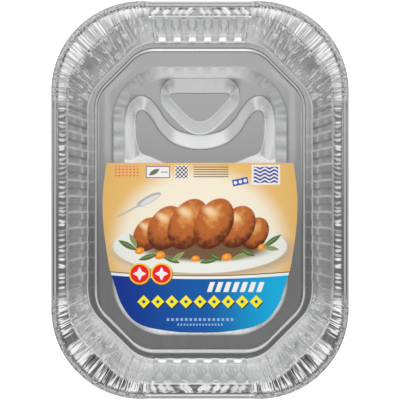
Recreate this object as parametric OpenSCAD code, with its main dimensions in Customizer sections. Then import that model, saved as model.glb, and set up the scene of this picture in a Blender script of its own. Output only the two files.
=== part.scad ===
// Pressed foil roasting pan with fluted walls, pleated corners and raised
// rack ridges, and the die-cut card that lies on the ridges.
// The origin is at the middle of the underside. +Y runs along the pan.

/* [Pan] */
// Length over the rolled rim
pan_l = 405; // [400:0.5:420]
// Width over the rolled rim
pan_w = 302.5; // [299:0.5:312]
// Height from the table to the top of the rim
pan_h = 66.6; // [58:0.2:76]
// Thickness of the modelled sheet
sheet = 0.5; // [0.4:0.05:0.7]
// Radius of the rim's round corners
corner_r = 91.6; // [89:0.1:92]

/* [Rim] */
// Width of the rolled bead round the edge
bead_w = 5.4; // [5:0.1:6.5]
// Depth of the rolled bead
bead_h = 5.4; // [4.5:0.1:6]
// Width of the crimped flange between the bead and the wall
flange_w = 10.4; // [9.5:0.1:11.5]
// Height of the crimps
crimp_h = 0.5; // [0.2:0.05:0.8]

/* [Wall] */
// How far the wall leans in from the flange to the ledge
wall_lean = 11.6; // [10:0.1:13]
// Distance from one flute to the next
flute_pitch = 16.65; // [16:0.05:17]
// Depth of the flutes
flute_d = 1.1; // [0.6:0.05:1.5]
// Depth of the pleats in the corners
pleat_d = 1.6; // [0.8:0.1:2.2]
// Width of the ledge inside the foot of the wall
ledge_w = 8; // [7:0.1:9]
// Height of the ledge above the floor
ledge_h = 2.2; // [1.5:0.1:4]

/* [Rack] */
// Width of the flat gutter round the rack
gutter_w = 18.3; // [17:0.1:20]
// Height of the ridges above the floor
ridge_h = 9.5; // [7:0.1:12]
// Width of the slope from the gutter up to the ridge
outer_slope = 15; // [13:0.5:16]
// Width of the slopes from the pads up to the ridges
pad_slope = 14.5; // [13:0.5:15.5]

/* [Card] */
// Thickness of the card
card_t = 0.5; // [0.3:0.05:0.8]
// Clearance between the card and the ridges
card_gap = 0.05; // [0.02:0.01:0.2]

/* [Hidden] */

// Half sizes of the outlines, from the rim inwards
rim_hw = pan_w / 2;
rim_hl = pan_l / 2;
mouth_hw = rim_hw - bead_w - flange_w;
mouth_hl = rim_hl - bead_w - flange_w;
foot_hw = mouth_hw - wall_lean;
foot_hl = mouth_hl - wall_lean;
floor_hw = foot_hw - ledge_w - 1.5;
floor_hl = foot_hl - ledge_w - 1.5;
rack_hw = floor_hw - gutter_w;
rack_hl = floor_hl - gutter_w;
crest_hw = rack_hw - outer_slope;
crest_hl = rack_hl - outer_slope;

// Levels of the sheet's upper side
floor_z = sheet;
ledge_z = floor_z + ledge_h;
ridge_z = floor_z + ridge_h;

// A corner is cut at 45 degrees and rounded. A round corner of radius r has the cut r * ROUND_CUT.
ROUND_CUT = 2 - sqrt(2);
HALF_TURN = tan(22.5);
mouth_cut = 58.2;
foot_cut = 58;
floor_cut = 49.3;
rack_r = 59;
crest_r = rack_r - outer_slope;

// An outline is [half width, half length, corner cut, rounding radius]
mouth = [mouth_hw, mouth_hl, mouth_cut, 57];
foot = [foot_hw, foot_hl, foot_cut, 44];
ledge_in = [floor_hw + 1.6, floor_hl + 1.6, floor_cut + 0.9, 38];
floor_edge = [floor_hw, floor_hl, floor_cut, 36];
rack_edge = [rack_hw, rack_hl, rack_r * ROUND_CUT, rack_r];
crest = [crest_hw, crest_hl, crest_r * ROUND_CUT, crest_r];

// The outline moved out by d, all round
function grow(g, d) = [g[0] + d, g[1] + d, g[2] + ROUND_CUT * d, g[3] + d];
function rim(d) =
    grow([rim_hw, rim_hl, corner_r * ROUND_CUT, corner_r], -d);
function mix(a, b, t) = a + (b - a) * t;

// Stations round one quarter of the wall: the long side, the corner, the short side
LONG_N = 22;
CORNER_N = 14;
SHORT_N = 12;
QUARTER_N = LONG_N + CORNER_N + SHORT_N;
WALL_N = 4 * QUARTER_N;

// A flute's flat land, and the slope beside it, along the wall
land = flute_pitch / 4;
flank = 1.7;
flute_steps = [land, land + flank, flute_pitch - land - flank, flute_pitch - land];
function flute_at(q) = flute_pitch * floor(q / 4) + flute_steps[q % 4];
long_end = flute_at(LONG_N - 1);
short_end = flute_at(SHORT_N - 1);

// 1 on a land, which stands inwards, and -1 between the lands
function flute_side(q) = (q % 4 == 0 || q % 4 == 3) ? 1 : -1;
function is_corner(q) = q >= LONG_N && q < LONG_N + CORNER_N;
function inward(q) =
    is_corner(q) ? pleat_d / 2 * (q % 2 == 0 ? 1 : -1)
    : flute_d / 2 * flute_side(q < LONG_N ? q : QUARTER_N - 1 - q);

// Lengths of a corner's five stretches: straight, arc, cut, arc, straight
function corner_parts(g, from_y, to_x) =
    let (t = g[3] * HALF_TURN, arc = g[3] * PI / 4)
    [g[1] - g[2] - t - from_y, arc, g[2] * sqrt(2) - 2 * t, arc, g[0] - g[2] - t - to_x];

// The point at the fraction s of the corner's way from the long side to the short side
function corner_point(g, from_y, to_x, s) =
    let (
        p = corner_parts(g, from_y, to_x),
        t = g[3] * HALF_TURN,
        d1 = s * (p[0] + p[1] + p[2] + p[3] + p[4]),
        d2 = d1 - p[0],
        d3 = d2 - p[1],
        d4 = d3 - p[2],
        d5 = d4 - p[3],
        u1 = d2 / g[3] * 180 / PI,
        u2 = 45 + d4 / g[3] * 180 / PI
    )
    d2 < 0 ? [g[0], from_y + d1]
    : d3 < 0 ? [g[0] - g[3] + g[3] * cos(u1), g[1] - g[2] - t + g[3] * sin(u1)]
    : d4 < 0 ? [g[0] - (1 - cos(45)) * g[3] - d3 * cos(45), g[1] - g[2] + t * cos(45) + d3 * cos(45)]
    : d5 < 0 ? [g[0] - g[2] - t + g[3] * cos(u2), g[1] - g[3] + g[3] * sin(u2)]
    : [g[0] - g[2] - t - d5, g[1]];

function wall_point(g, q) =
    q < LONG_N ? [g[0], flute_at(q)]
    : is_corner(q) ? corner_point(g, long_end, short_end, (q - LONG_N + 1) / (CORNER_N + 1))
    : [flute_at(QUARTER_N - 1 - q), g[1]];

// One turn of stations in four mirrored quarters, each at the height z
function wall_turn(g, z, fluted, crimped) = [
    for (n = [0:WALL_N - 1])
    let (
        quarter = floor(n / QUARTER_N),
        q = quarter % 2 == 0 ? n % QUARTER_N : QUARTER_N - 1 - n % QUARTER_N,
        p = wall_point(grow(g, -fluted * inward(q)), q),
        sx = quarter == 0 || quarter == 3 ? -1 : 1,
        sy = quarter < 2 ? 1 : -1
    )
    [sx * p[0], sy * p[1], z + crimped * crimp_h / 2 * (q % 2 == 0 ? 1 : -1)]
];

// The sheet's profile from the lip of the bead to the floor. Each row is an outline, its
// level, how strongly it is fluted and crimped, and where the other side of the sheet is.
crease_z = ledge_z + 10;
function wall_at(z) = grow(foot, wall_lean * (z - ledge_z) / (pan_h - ledge_z));
profile = [
    [rim(2.4), pan_h - bead_h, 0, 0, [-1, 0]],
    [rim(0), pan_h - bead_h / 2, 0, 0, [-1, 0]],
    [rim(bead_w * 0.45), pan_h, 0, 0, [0, -1]],
    [rim(bead_w), pan_h - 2, 0, 1, [0, -1]],
    [mouth, pan_h - 1.8, 0.4, 1.6, [0.6, -1]],
    [wall_at(pan_h - 5), pan_h - 5, 1, 0, [1, -0.3]],
    [wall_at(crease_z), crease_z, 1, 0, [1, -0.2]],
    [wall_at(ledge_z + 1.4), ledge_z + 1.4, 0.9, 0, [1, -0.5]],
    [grow(foot, -1.3), ledge_z, 0.5, 0, [0.4, -1]],
    [ledge_in, ledge_z, 0.2, 0, [0.6, -1]],
    [floor_edge, floor_z, 0, 0, [0.6, -1]]
];

// The pads between the ridges, as half outlines on the side where x is positive
pad_front_top = 118.9;
pad_front_low = [[0, 87], [14.4, 93], [25.5, 103.2], [33.2, 114.2]];
pad_mid_top = [
    [0, 57], [12.8, 58.2], [25.5, 63.3], [33.9, 69.3], [42.5, 77.7],
    [50.9, 89.6], [56.9, 96.3], [64.5, 99.1], [69.6, 92.1], [71.3, 83.7]
];
pad_mid_low = [[0, 33], [39.9, 42.9], [65, 52.6], [68.8, 60.7], [70.9, 70.9]];
pad_centre_top = [[0, 8], [40, 18], [64, 27], [69, 23], [70.8, 14]];
crest_front = [
    [0, 71], [12.6, 73], [25.2, 81], [35.3, 92], [46.2, 102],
    [54.6, 110], [64, 113], [72, 110], [82, 97]
];
crest_mid = [[0, 20.5], [40, 30.5], [72, 42], [82, 54]];

function back(list) = [for (i = [len(list) - 1:-1:0]) list[i]];
pads = [
    concat([[0, pad_front_top], [29.7, pad_front_top]], back(pad_front_low)),
    concat(pad_mid_top, back(pad_mid_low)),
    concat(pad_centre_top, [[70.8, 0], [0, 0]])
];

// The pads and crests are drawn on a rack of this size, and stretch with it
drawn = [96.4, 147.8];
drawn_crest = drawn[1] - 15;
stretch = [rack_hw / drawn[0], rack_hl / drawn[1]];
function fit(p) = [p[0] * stretch[0], p[1] * stretch[1]];

// Slopes that face sideways are steeper, so sideways distances count for more
SIDE_STEEP = 1.3;
function lean(v) = [v[0] * SIDE_STEEP, v[1]];
function edge_gap(p, a, b) =
    let (
        d = lean(b - a),
        e = lean(p - a),
        t = min(1, max(0, d * e / (d * d)))
    )
    norm(e - d * t);
function crosses(p, a, b) =
    (a[1] > p[1]) != (b[1] > p[1]) &&
    p[0] < (b[0] - a[0]) * (p[1] - a[1]) / (b[1] - a[1]) + a[0];
function following(pad, i) = pad[(i + 1) % len(pad)];
function inside(p, pad) =
    len([for (i = [0:len(pad) - 1]) if (crosses(p, pad[i], following(pad, i))) 1]) % 2 == 1;
function pad_gap(p, pad) =
    inside(p, pad) ? 0
    : min([for (i = [0:len(pad) - 1]) edge_gap(p, pad[i], following(pad, i))]);
function gutter_gap(x, y) =
    let (u = x - rack_hw + rack_r, v = y - rack_hl + rack_r)
    max(0, rack_r - norm([max(u, 0), max(v, 0)]) - min(max(u, v), 0));

// Height of the pressed floor: low in the gutter and the pads, high on the ridges
function floor_at(x, y) =
    let (
        drawn_p = [abs(x) / stretch[0], abs(y) / stretch[1]],
        gap = min([for (pad = pads) pad_gap(drawn_p, pad)])
    )
    floor_z + ridge_h * min(1, gap / pad_slope, gutter_gap(abs(x), abs(y)) / outer_slope);

// Stations round one quarter of the rack, from the long side to the short side
side_marks = [0, 8, 18, 50, 60, 70, 79, 85, 88];
SIDE_K = len(side_marks) - 1;
TURN_K = 12;
end_marks = [37.3, 33.2, 22, 11, 0];
END_K = len(end_marks) - 1;
QUARTER_K = SIDE_K + TURN_K + END_K;
RACK_N = 4 * QUARTER_K;
function rack_point(g, k) =
    let (
        t = g[3] * HALF_TURN,
        side = g[1] - g[2] - t,
        end = g[0] - g[2] - t
    )
    k <= SIDE_K ? [g[0], side * side_marks[k] / side_marks[SIDE_K]]
    : k <= SIDE_K + TURN_K ? corner_point(g, side, end, (k - SIDE_K) / TURN_K)
    : [end * end_marks[k - SIDE_K - TURN_K] / end_marks[0], g[1]];

function quarter_k(m) =
    let (quarter = floor(m / QUARTER_K), k = m % QUARTER_K)
    quarter % 2 == 0 ? k : QUARTER_K - k;
function rack_turn(g, raised) = [
    for (m = [0:RACK_N - 1])
    let (
        p = rack_point(g, quarter_k(m)),
        x = (m < QUARTER_K || m > 3 * QUARTER_K ? -1 : 1) * p[0],
        y = (m < 2 * QUARTER_K ? 1 : -1) * p[1]
    )
    [x, y, raised ? floor_at(x, y) : floor_z]
];

// Inside the crest the floor is a net whose columns and rows follow the pads' edges
HALF_COLS = 10;
HALF_ROWS = 14;
COLS = 2 * HALF_COLS;
ROWS = 2 * HALF_ROWS;
column_x = [81.4, 71.2, 65.5, 60, 54.5, 49, 43.6, 33.2, 22, 11, 0];
BEND_ROW = 7;
PAD_TURN = 67.5;
function row_y(j, x) =
    let (
        c = lookup(min(x, PAD_TURN), pad_centre_top),
        m = lookup(x, crest_mid),
        low = lookup(min(x, PAD_TURN), pad_mid_low),
        top = lookup(min(x, PAD_TURN), pad_mid_top),
        f = lookup(x, crest_front),
        front = lookup(x, pad_front_low),
        end = pad_front_top + max(0, x - 29.7) * 0.06
    )
    [
        0, c / 2, c, m, low, mix(low, top, 1 / 3), mix(low, top, 2 / 3), top,
        mix(top, f, 0.9), f + 1.5, front, mix(front, end, 0.5), end, mix(end, drawn_crest, 0.5)
    ][j];

function net_point(i, j) =
    let (
        bound = rack_point(crest, HALF_ROWS + i),
        bend = max(0, j - BEND_ROW) / (HALF_ROWS - BEND_ROW),
        x = mix(column_x[i] * stretch[0], bound[0], bend * bend),
        y = row_y(j, x / stretch[0]),
        start = row_y(BEND_ROW, x / stretch[0]),
        rise = (y - start) / (drawn_crest - start)
    )
    [x, bend > 0 ? mix(start * stretch[1], bound[1], rise) : y * stretch[1]];
function net_inner() = [
    for (i = [1:COLS - 1]) for (j = [1:ROWS - 1])
    let (
        p = net_point(min(i, COLS - i), abs(j - HALF_ROWS)),
        x = (i <= HALF_COLS ? -1 : 1) * p[0],
        y = (j >= HALF_ROWS ? 1 : -1) * p[1]
    )
    [x, y, floor_at(x, y)]
];

// Points of one side of the sheet: the profile's turns, the two rack turns and the net
TURNS = len(profile);
RACK_AT = TURNS * WALL_N;
CREST_AT = RACK_AT + RACK_N;
NET_AT = CREST_AT + RACK_N;
SIDE_COUNT = NET_AT + (COLS - 1) * (ROWS - 1);
function lowered(points, dz) = [for (p = points) p + [0, 0, dz]];
function sheet_side(t) = concat(
    [for (r = profile) each wall_turn(grow(r[0], t * r[4][0]), r[1] + t * r[4][1], r[2], r[3])],
    lowered(rack_turn(rack_edge, false), -t),
    lowered(rack_turn(crest, true), -t),
    lowered(net_inner(), -t)
);

// The number of the net's point at column i and row j
function net_index(i, j) =
    i == 0 ? CREST_AT + (j - HALF_ROWS + RACK_N) % RACK_N
    : j == ROWS ? CREST_AT + HALF_ROWS + i
    : i == COLS ? CREST_AT + 2 * QUARTER_K + HALF_ROWS - j
    : j == 0 ? CREST_AT + RACK_N - HALF_ROWS - i
    : NET_AT + (i - 1) * (ROWS - 1) + j - 1;

function strip(a, b, count) = [
    for (n = [0:count - 1])
    let (m = (n + 1) % count)
    each [[a + n, a + m, b + m], [a + n, b + m, b + n]]
];
function join_floor(a, b) = [
    for (m = [0:RACK_N - 1])
    let (
        before = (2 * m - 1 + WALL_N) % WALL_N,
        after = 2 * m,
        next = (m + 1) % RACK_N
    )
    each [
        [a + before, a + after, b + m],
        [a + after, a + after + 1, b + next],
        [a + after, b + next, b + m]
    ]
];
function net_faces() = [
    for (i = [0:COLS - 1]) for (j = [0:ROWS - 1])
    let (
        p = net_index(i, j),
        q = net_index(i, j + 1),
        r = net_index(i + 1, j + 1),
        s = net_index(i + 1, j),
        turned = (i < HALF_COLS) == (j >= HALF_ROWS)
    )
    each turned ? [[p, q, s], [q, r, s]] : [[p, q, r], [p, r, s]]
];
function side_faces() = concat(
    [for (r = [0:TURNS - 2]) each strip(r * WALL_N, (r + 1) * WALL_N, WALL_N)],
    join_floor((TURNS - 1) * WALL_N, RACK_AT),
    strip(RACK_AT, CREST_AT, RACK_N),
    net_faces()
);
function flipped(faces, shift) = [for (f = faces) [f[2] + shift, f[1] + shift, f[0] + shift]];

module foil_pan() {
    upper = side_faces();
    color("silver")
        polyhedron(
            concat(sheet_side(0), sheet_side(sheet)),
            concat(upper, flipped(upper, SIDE_COUNT), strip(SIDE_COUNT, 0, WALL_N)),
            convexity = 12
        );
}

// Half outline of the card, as drawn on a rack of the drawn size
card_side = [
    [101.9, 40.9], [105, 18], [106.2, -5], [104.6, -34], [99.4, -69.6], [95.8, -82.8],
    [92.2, -94.8], [86.3, -111.7], [75.4, -127.7], [62.8, -136], [46.1, -140.3], [21, -143.5]
];
module label_card() {
    half = [for (p = card_side) fit(p)];
    color("burlywood")
        translate([0, 0, ridge_z + card_gap])
            linear_extrude(card_t)
                polygon(concat(half, [for (p = back(half)) [-p[0], p[1]]]));
}

foil_pan();
label_card();
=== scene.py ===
"""A pressed foil roasting pan seen from straight above, with the printed card that lies in it.

The foil is four numpy surfaces that share their edges: the flange with its rolled bead and
crimps, the fluted wall with the ledge, and the pressed floor with the rack ridges in a far and
a near piece. The card is a fifth. Lengths are in millimetres until a mesh is made.
"""
import math

import bpy
import numpy as np
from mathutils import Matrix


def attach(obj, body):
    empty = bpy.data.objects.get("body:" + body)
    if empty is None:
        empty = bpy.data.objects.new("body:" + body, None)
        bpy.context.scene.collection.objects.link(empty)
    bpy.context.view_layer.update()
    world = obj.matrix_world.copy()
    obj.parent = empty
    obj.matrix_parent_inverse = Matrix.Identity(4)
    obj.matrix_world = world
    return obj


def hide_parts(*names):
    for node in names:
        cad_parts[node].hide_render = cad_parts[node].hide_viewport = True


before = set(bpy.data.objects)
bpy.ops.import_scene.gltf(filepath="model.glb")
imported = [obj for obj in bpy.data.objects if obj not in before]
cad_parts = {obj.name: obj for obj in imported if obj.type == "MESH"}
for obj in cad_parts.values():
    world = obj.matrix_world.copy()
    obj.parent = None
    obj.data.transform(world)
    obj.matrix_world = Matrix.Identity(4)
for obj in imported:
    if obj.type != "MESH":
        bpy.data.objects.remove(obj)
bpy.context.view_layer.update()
SEED = 11
MM = 0.001

# Driving sizes of the pan, as in the part's source, but for slightly adjusted sizes of the
# sheet, the bead, the flange, the flutes and the slopes round the pads
PAN_L = 405.0
PAN_W = 302.5
PAN_H = 66.6
SHEET = 0.45
CORNER_R = 91.6
BEAD_W = 7.0
FLANGE_W = 8.8
WALL_LEAN = 11.6
LEDGE_W = 8.0
LEDGE_H = 2.2
GUTTER_W = 18.3
RIDGE_H = 9.5
OUTER_SLOPE = 15.0
PAD_SLOPE = 15.3
FLOOR_Z = 0.5
FLUTE_PITCH = 16.65
FLUTE_D = 1.15
CARD_T = 0.5
CARD_GAP = 0.05
# How far the flange lies below the top of the rim
FLANGE_DROP = 1.8
# How far the feet of the short sides' flutes stand out
FOOT_BULGE = 3.5
# A crimp grows freely to the first height above the flange, and by less than the second more
CRIMP_FREE = 0.6
CRIMP_HELD = 1.15

ROUND_CUT = 2 - math.sqrt(2)
HALF_TURN = math.tan(math.radians(22.5))
DIAG = math.sqrt(0.5)
LEDGE_Z = FLOOR_Z + LEDGE_H
RIM_HW = PAN_W / 2
RIM_HL = PAN_L / 2
# Ways inwards from the rim: to the wall's upper end and foot, the floor, the floor pieces' edge,
# the drop from the ledge, the outermost crimps and the middle of the flange
MOUTH_AT = BEAD_W + FLANGE_W
FOOT_AT = MOUTH_AT + WALL_LEAN
FLOOR_AT = FOOT_AT + LEDGE_W + 1.5
FLOOR_EDGE_AT = FLOOR_AT + 1.8
DROP_AT = FLOOR_AT - 0.4
CRIMP_AT = BEAD_W - 0.8
FLANGE_MID = 10.5
# Half width and half length of the rack's foot
RACK_HW = RIM_HW - FLOOR_AT - GUTTER_W + 0.5
RACK_HL = RIM_HL - FLOOR_AT - GUTTER_W + 0.9


def smooth(t):
    """The cubic step 3t^2 - 2t^3, held at 0 below 0 and at 1 above 1."""
    t = np.clip(t, 0.0, 1.0)
    return t * t * (3 - 2 * t)


def outline_at(w):
    """Half width, half length, corner cut and rounding radius of the outline w inside the rim.

    Between the known outlines each of the four numbers runs straight with w.
    """
    at = [0.0, BEAD_W, MOUTH_AT, FOOT_AT, FLOOR_AT, FLOOR_AT + 4.0]
    cut = [
        CORNER_R * ROUND_CUT, (CORNER_R - BEAD_W) * ROUND_CUT, 58.2, 58.0, 49.3, 49.3 - 4 * ROUND_CUT,
    ]
    radius = [CORNER_R, CORNER_R - BEAD_W, 57.0, 44.0, 36.0, 32.0]
    return RIM_HW - w, RIM_HL - w, np.interp(w, at, cut), np.interp(w, at, radius)


# The kinds of stretches round the pan, with half the lengths of the sides' straights and the
# length of a corner along the rim
LONG, CORNER, SHORT = 0, 1, 2
LONG_END = 5.5 * FLUTE_PITCH
SHORT_END = 3.0 * FLUTE_PITCH
CORNER_RUN = 156.0


def corner_point(hw, hl, cut, r, s):
    """The point at the fraction s of a corner: straight, arc of 45 degrees, cut, arc, straight."""
    t = r * HALF_TURN
    arc = r * math.pi / 4
    run = [hl - cut - t - LONG_END, arc, cut * math.sqrt(2) - 2 * t, arc, hw - cut - t - SHORT_END]
    d = [s * sum(run)]
    for part in run[:4]:
        d.append(d[-1] - part)
    a1 = d[1] / r
    a2 = math.pi / 4 + d[3] / r
    tests = [d[1] < 0, d[2] < 0, d[3] < 0, d[4] < 0]
    x0, y0 = hw - cut - t, hl - cut - t
    xs = [hw, hw - r + r * np.cos(a1), hw - (1 - DIAG) * r - d[2] * DIAG, x0 + r * np.cos(a2)]
    ys = [LONG_END + d[0], y0 + r * np.sin(a1), hl - cut + (t + d[2]) * DIAG, hl - r + r * np.sin(a2)]
    return np.select(tests, xs, x0 - d[4]), np.select(tests, ys, hl)


class Stations:
    """Stations round the pan in four mirrored quarters: long side, corner, short side.

    run is each station's way along the rim from the long side's middle, the same in all four
    quarters but for a shift on the far side. creased is 1 in a corner and 0 on a straight,
    endward rises to 1 from a corner to the short side, and calm is 1 on the short stretch of
    each near corner whose flange has no pleats.
    """

    def __init__(self, long_n, corner_n, short_n):
        y = (np.arange(long_n) + 0.5) * LONG_END / long_n
        s = (np.arange(corner_n) + 0.5) / corner_n
        x = (short_n - 0.5 - np.arange(short_n)) * SHORT_END / short_n
        part = np.repeat([LONG, CORNER, SHORT], [long_n, corner_n, short_n])
        value = np.concatenate([y, s, x])
        self.count = 4 * len(value)
        order = [slice(None), slice(None, None, -1)] * 2
        self.part = np.concatenate([part[o] for o in order])
        self.value = np.concatenate([value[o] for o in order])
        self.sx = np.repeat([-1.0, 1.0, 1.0, -1.0], len(value))
        self.sy = np.repeat([1.0, 1.0, -1.0, -1.0], len(value))
        s = self.value
        run = self.by_part(s, LONG_END + s * CORNER_RUN, LONG_END + CORNER_RUN + SHORT_END - s)
        self.run = run + 500.0 * (self.sy > 0)
        ends = smooth(s / 0.12) * (1 - smooth((s - 0.96) / 0.04))
        self.creased = self.by_part(0.0, ends, 0.0)
        self.endward = self.by_part(0.0, smooth((s - 0.75) / 0.25), 1.0)
        calm = (self.sy < 0) * smooth((s - 0.3) / 0.015) * (1 - smooth((s - 0.36) / 0.015))
        self.calm = self.by_part(0.0, calm, 0.0)

    def by_part(self, long_side, corner, short_side):
        """Each station's value of these, by the kind of stretch that it is on."""
        return np.select([self.part == LONG, self.part == CORNER], [long_side, corner], short_side)

    def ring(self, w, push):
        """x and y of a turn at w inside the rim, pushed outwards by push at each station."""
        hw, hl, cut, r = outline_at(w)
        hw, hl, cut, r = hw + push, hl + push, cut + ROUND_CUT * push, r + push
        cx, cy = corner_point(hw, hl, cut, r, self.by_part(0.5, self.value, 0.5))
        return self.sx * self.by_part(hw, cx, self.value), self.sy * self.by_part(self.value, cy, hl)


def from_land(st):
    """Distance along a straight from the middle of the nearest flute's inner land."""
    pitches = st.value / FLUTE_PITCH
    return np.abs(pitches - np.round(pitches)) * FLUTE_PITCH


def flutes(st):
    """1 on a flute's inner land and 0 on its outer one, with eased flanks, along the straights."""
    long_side = 1 - smooth((from_land(st) - 4.0) / 2.0)
    short_side = 1.3 * (1 - smooth((from_land(st) - 2.0) / 5.0))
    return st.by_part(long_side, 0.0, short_side)


def bulges(st):
    """1 on the outer bands between the lands of the short sides, whose foot bulges outwards."""
    return smooth((from_land(st) - 2.7) / 1.8) * (st.part == SHORT)


def creases(s, places, widths, heights):
    """The sum of narrow bumps height / (1 + ((s - place) / width)^2)^2 over all creases."""
    gap = (s[..., None] - places) / widths
    return (heights / (1 + gap * gap) ** 2).sum(axis=-1)


def corner_folds(st, v, seed):
    """Irregular folds down a corner's wall, as an inward push at the depth v from 0 to 1.

    Each fold is a narrow bump that starts at the mouth, leans a little and fades with depth.
    """
    rng = np.random.default_rng(seed)
    count = 56
    places = (np.arange(count) + rng.uniform(0.0, 1.0, count)) / count
    widths = rng.uniform(0.6, 1.5, count) / CORNER_RUN
    heights = widths * CORNER_RUN * rng.uniform(-0.7, 1.9, count)
    leans = rng.uniform(-0.03, 0.06, count)
    ends = rng.uniform(0.15, 1.1, count)
    fade = 1 - smooth((v - ends * 0.6) / (ends * 0.4 + 0.05))
    push = creases(st.value, places + leans * v, widths, heights * fade)
    broad = 0.45 * np.sin(st.value * 21 + 3 * v + seed) * smooth(v / 0.3) * (1 - smooth((v - 0.6) / 0.3))
    return push * (st.part == CORNER) + broad * st.creased


def hump_table(seed):
    """Places, widths, heights, slants and shines of the flange's humps for each kind of stretch; a shine is
    the strength of the hump's painted highlight.

    Each kind is a long side, a corner or a short side, with its length, the pitch of its
    humps, the range of their widths and their steepness.
    """
    rng = np.random.default_rng(seed)
    table = []
    for part, length, pitch, thin, wide, steep in (
        (LONG, LONG_END, 4.9, 0.9, 1.3, 0.35), (CORNER, CORNER_RUN, 3.0, 0.65, 1.1, 1.0),
        (SHORT, 2 * SHORT_END, 9.1, 1.9, 2.9, 0.6),
    ):
        count = int(round(length / pitch))
        step = length / count
        places = (np.arange(count) + rng.uniform(0.15, 0.85, count)) * step
        widths = rng.uniform(thin, wide, count)
        heights = widths * rng.uniform(0.25, 1.0, count) * steep
        slants = rng.uniform(-0.25, 0.25, count)
        if part == SHORT:
            slants = slants + 0.7 * np.sign(places - length / 2)
        # Strength of each hump's painted highlight
        shines = rng.uniform(0.15 if part == LONG else 0.6, 1.0, count)
        table.append((part, places, widths, heights, slants, shines))
    return table


def hump_way(st, part):
    """Way along the kind of stretch: from its start, and from end to end on a short side."""
    return [st.value, st.value * CORNER_RUN, st.value * st.sx + SHORT_END][part]


def flange_crimps(st, w, seed):
    """Height of the flange's crimps at w inside the rim: humps on the straights, pleats between."""
    t = (w - CRIMP_AT) / (MOUTH_AT - CRIMP_AT)
    rise = smooth(t / 0.3) * (1 - smooth((t - 0.72) / 0.28))
    out = np.zeros(st.count)
    for part, places, widths, heights, slants, _ in hump_table(seed):
        leaning = places + slants * (w - FLANGE_MID)
        bumps = creases(hump_way(st, part), leaning, widths, heights)
        out = np.where(st.part == part, bumps, out)
    return out * rise * (1 - st.calm)


def flange_highlight(st, w, seed):
    """How strong the painted highlight is at w: an oval spot on each hump of the straights."""
    out = np.zeros(st.count)
    for part, places, widths, _, slants, shines in hump_table(seed):
        if part == CORNER:
            continue
        middle, reach, wide = (10.6, 3.3, 1.2) if part == LONG else (11.3, 3.1, 1.5)
        leaning = places + slants * (w - FLANGE_MID)
        along = (hump_way(st, part)[:, None] - leaning) / (widths * wide)
        spot = 1 - smooth((np.hypot(along, (w - middle) / reach) - 0.7) / 0.5)
        out = np.where(st.part == part, (spot * shines).max(axis=1), out)
    return out


def by_half(pick, st, at, seed):
    """What pick gives with this seed on the pan's far half, and with the next on its near half."""
    return np.where(st.sy > 0, pick(st, at, seed), pick(st, at, seed + 1))


def sheet_normals(points, around):
    """Unit normals of a grid of points (rows, cols, 3), from its differences both ways."""
    along = np.gradient(points, axis=0)
    if around:
        across = (np.roll(points, -1, axis=1) - np.roll(points, 1, axis=1)) / 2
    else:
        across = np.gradient(points, axis=1)
    normal = np.cross(along, across)
    return normal / np.maximum(np.linalg.norm(normal, axis=-1, keepdims=True), 1e-9)


def closed_shell(points, thickness, around):
    """A grid of points given a second side at thickness along its normals, and closed edges.

    Where around is true each row closes on itself, so only the first and last row are edges.
    """
    rows, cols, _ = points.shape
    under = points - sheet_normals(points, around) * thickness
    verts = np.concatenate([points.reshape(-1, 3), under.reshape(-1, 3)])
    turn = np.arange(cols if around else cols - 1)
    r, c = np.meshgrid(np.arange(rows - 1), turn, indexing="ij")
    n = (c + 1) % cols
    top = np.stack([(r + 1) * cols + c, (r + 1) * cols + n, r * cols + n, r * cols + c], axis=-1)
    top = top.reshape(-1, 4)
    after = (turn + 1) % cols
    last = (rows - 1) * cols
    edges = [(turn, after), (after + last, turn + last)]
    if not around:
        up = np.arange(rows - 1) * cols
        edges += [(up + cols, up), (up + cols - 1, up + 2 * cols - 1)]
    faces = [top, top[:, ::-1] + rows * cols]
    for a, b in edges:
        faces.append(np.stack([a, b, b + rows * cols, a + rows * cols], axis=-1))
    return verts, np.concatenate(faces)


def add_shell(name, points, thickness, around, sharp_over):
    """The closed shell of the points as an object, sharp only at angles over sharp_over degrees."""
    verts, quads = closed_shell(points, thickness, around)
    mesh = bpy.data.meshes.new(name)
    mesh.from_pydata((verts * MM).tolist(), [], quads.tolist())
    mesh.polygons.foreach_set("use_smooth", np.ones(len(mesh.polygons), dtype=bool))
    mesh.set_sharp_from_angle(angle=math.radians(sharp_over))
    mesh.update()
    obj = bpy.data.objects.new(name, mesh)
    bpy.context.scene.collection.objects.link(obj)
    return obj


def path_rows(knots, step, count=None):
    """Points along a smooth curve through knots, about step apart or count to each stretch.

    Each stretch is a cubic whose end slopes follow the knots on both sides.
    """
    k = np.array(knots, dtype=float)
    k = np.vstack([2 * k[0] - k[1], k, 2 * k[-1] - k[-2]])
    if np.allclose(k[1], k[-2]):
        k[0], k[-1] = k[-3], k[2]
    rows = [k[1]]
    for p0, p1, p2, p3 in zip(k[:-3], k[1:-2], k[2:-1], k[3:]):
        n = count or max(1, int(round(np.linalg.norm(p2 - p1) / step)))
        t = (np.arange(n) + 1)[:, None] / n
        m1 = (p2 - p0) / 2
        m2 = (p3 - p1) / 2
        rows.extend((2 * t**3 - 3 * t**2 + 1) * p1 + (t**3 - 2 * t**2 + t) * m1
                    + (-2 * t**3 + 3 * t**2) * p2 + (t**3 - t**2) * m2)
    return np.array(rows)


ROUND = Stations(124, 240, 76)
SEAM_Z = PAN_H - 9.0


def wall_w(z):
    """How far inside the rim the plain wall is at the height z."""
    return FOOT_AT - WALL_LEAN * (z - LEDGE_Z) / (PAN_H - LEDGE_Z)


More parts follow.
